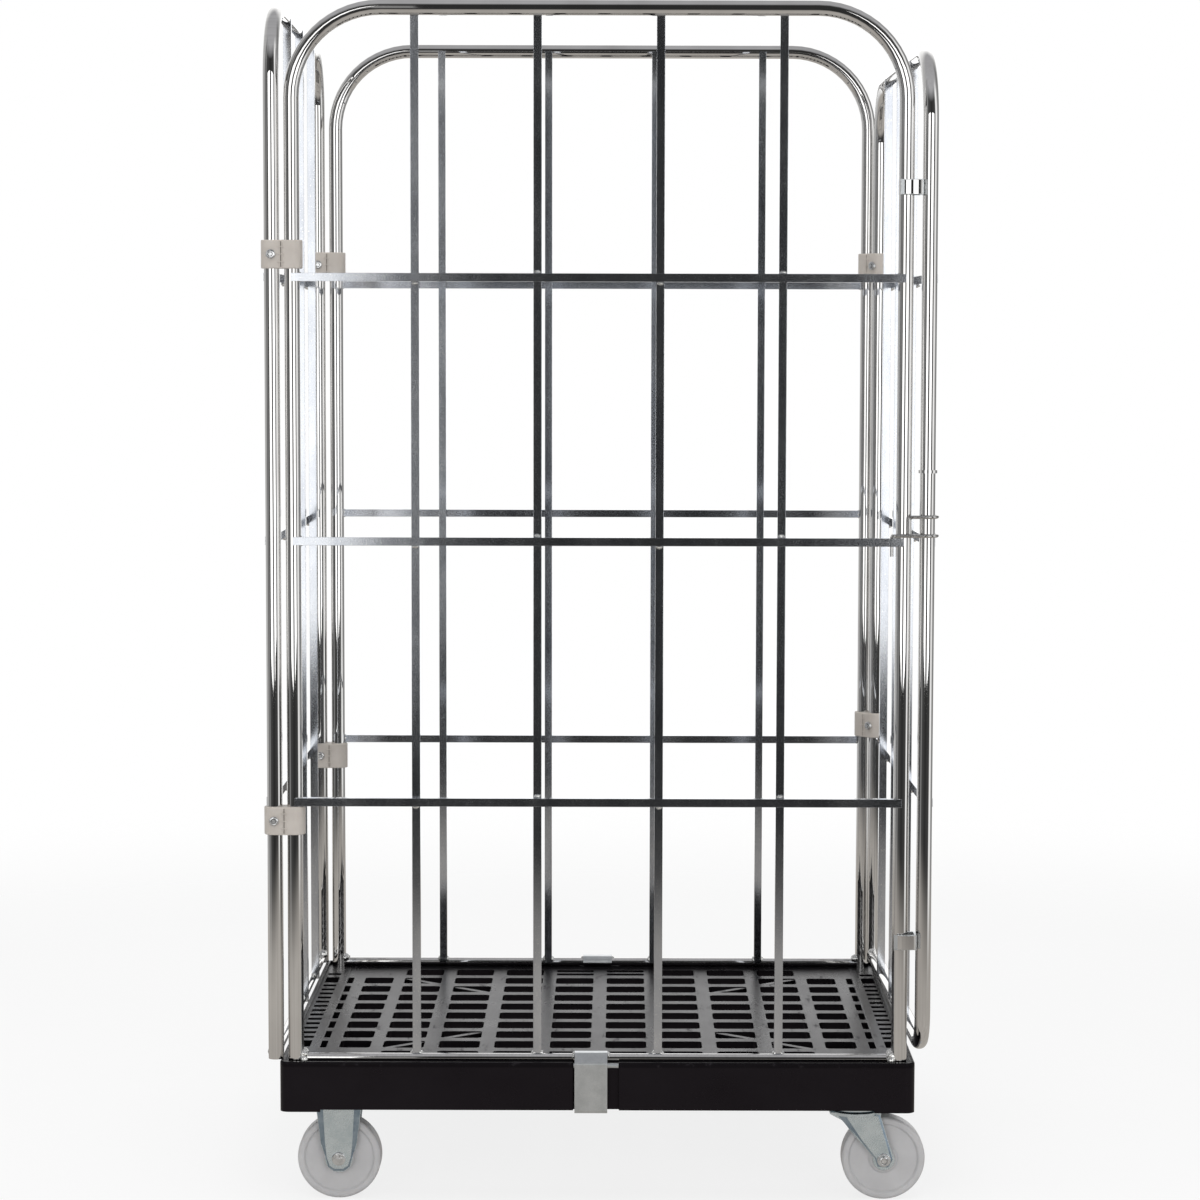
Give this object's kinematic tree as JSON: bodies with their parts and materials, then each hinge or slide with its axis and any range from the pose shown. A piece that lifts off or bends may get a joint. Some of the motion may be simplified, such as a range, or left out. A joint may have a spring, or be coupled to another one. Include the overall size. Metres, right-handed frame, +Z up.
{
  "type": "roll cage container",
  "caption": "Four-sided roll cage container: wire-walled steel cage with a hinged door on a slotted plastic deck, two fixed and two swivel castors.",
  "frame": {"origin": "on the floor, under the centre of the base platform", "axes": "+X to the door side, +Y to the rear panel, +Z up"},
  "size_m": [0.8591, 0.7354, 1.537],
  "materials": {
    "base_plastic": "satin black moulded polymer",
    "tube_zinc": "bright zinc plated tube",
    "bar_zinc": "bright zinc plated bar",
    "strap_zinc": "galvanised sheet",
    "wire_zinc": "zinc plated wire",
    "castor_zinc": "blue-white zinc plated pressing",
    "fastener_zinc": "zinc plated fastener",
    "clip_plastic": "beige moulded polyamide",
    "wheel_polyamide": "off-white cast polyamide"
  },
  "bodies": {
    "cage": {"base_platform": "base_plastic", "castor_mounting_bolts": "fastener_zinc", "fixed_castor_axle_bolt": "fastener_zinc", "fixed_castor_axle_bush": "fastener_zinc", "fixed_castor_axle_nut": "fastener_zinc", "front_base_strap": "strap_zinc", "front_bottom_rail": "tube_zinc", "front_cross_rails": "bar_zinc", "front_frame_tube": "tube_zinc", "front_left_castor_fork": "castor_zinc", "front_left_lower_clip": "clip_plastic", "front_left_upper_clip": "clip_plastic", "front_right_castor_kingpin": "fastener_zinc", "front_right_castor_kingpin_nut": "fastener_zinc", "front_right_castor_top_plate": "castor_zinc", "front_strap_pin": "strap_zinc", "front_upright_bars": "bar_zinc", "left_bottom_rail": "tube_zinc", "left_clip_nuts": "fastener_zinc", "left_clip_screws": "fastener_zinc", "left_cross_rails": "bar_zinc", "left_frame_tube": "tube_zinc", "left_upright_bars": "bar_zinc", "rear_base_strap": "strap_zinc", "rear_bottom_rail": "tube_zinc", "rear_cross_rails": "bar_zinc", "rear_frame_tube": "tube_zinc", "rear_left_castor_fork": "castor_zinc", "rear_left_lower_clip": "clip_plastic", "rear_left_upper_clip": "clip_plastic", "rear_right_castor_kingpin": "fastener_zinc", "rear_right_castor_kingpin_nut": "fastener_zinc", "rear_right_castor_top_plate": "castor_zinc", "rear_strap_pin": "strap_zinc", "rear_upright_bars": "bar_zinc"},
    "door": {"door_bottom_tube": "tube_zinc", "door_clip_nuts": "fastener_zinc", "door_clip_screws": "fastener_zinc", "door_cross_rails": "bar_zinc", "door_frame_tube": "tube_zinc", "door_hooks": "strap_zinc", "door_lower_hinge_clip": "clip_plastic", "door_stop_bead": "tube_zinc", "door_upper_hinge_clip": "clip_plastic", "door_upright_bars": "bar_zinc"},
    "latch": {"latch_wire": "wire_zinc"},
    "front_swivel": {"front_right_castor_axle_bolt": "fastener_zinc", "front_right_castor_axle_bush": "fastener_zinc", "front_right_castor_axle_nut": "fastener_zinc", "front_right_castor_fork": "castor_zinc"},
    "rear_swivel": {"rear_right_castor_axle_bolt": "fastener_zinc", "rear_right_castor_axle_bush": "fastener_zinc", "rear_right_castor_axle_nut": "fastener_zinc", "rear_right_castor_fork": "castor_zinc"},
    "front_left_wheel": {"front_left_castor_wheel": "wheel_polyamide"},
    "rear_left_wheel": {"rear_left_castor_wheel": "wheel_polyamide"},
    "front_right_wheel": {"front_right_castor_wheel": "wheel_polyamide"},
    "rear_right_wheel": {"rear_right_castor_wheel": "wheel_polyamide"}
  },
  "joints": [
    {"name": "door_swing", "type": "hinge", "parent": "cage", "child": "door", "pos_m": [0.3875, 0.342, 0.8], "axis": [0, 0, 1], "range_deg": [0, 170]},
    {"name": "latch_lift", "type": "slide", "parent": "door", "child": "latch", "axis": [0, 0, 1], "range_m": [0, 0.05]},
    {"name": "front_castor_swivel", "type": "hinge", "parent": "cage", "child": "front_swivel", "pos_m": [0.335, -0.3, 0.114], "axis": [0, 0, 1], "continuous": true},
    {"name": "rear_castor_swivel", "type": "hinge", "parent": "cage", "child": "rear_swivel", "pos_m": [0.335, 0.3, 0.114], "axis": [0, 0, 1], "continuous": true},
    {"name": "front_left_wheel_spin", "type": "hinge", "parent": "cage", "child": "front_left_wheel", "pos_m": [-0.335, -0.3, 0.054], "axis": [0, 1, 0], "continuous": true},
    {"name": "rear_left_wheel_spin", "type": "hinge", "parent": "cage", "child": "rear_left_wheel", "pos_m": [-0.335, 0.3, 0.054], "axis": [0, 1, 0], "continuous": true},
    {"name": "front_right_wheel_spin", "type": "hinge", "parent": "front_swivel", "child": "front_right_wheel", "pos_m": [0.371, -0.3, 0.054], "axis": [0, 1, 0], "continuous": true},
    {"name": "rear_right_wheel_spin", "type": "hinge", "parent": "rear_swivel", "child": "rear_right_wheel", "pos_m": [0.371, 0.3, 0.054], "axis": [0, 1, 0], "continuous": true}
  ]
}
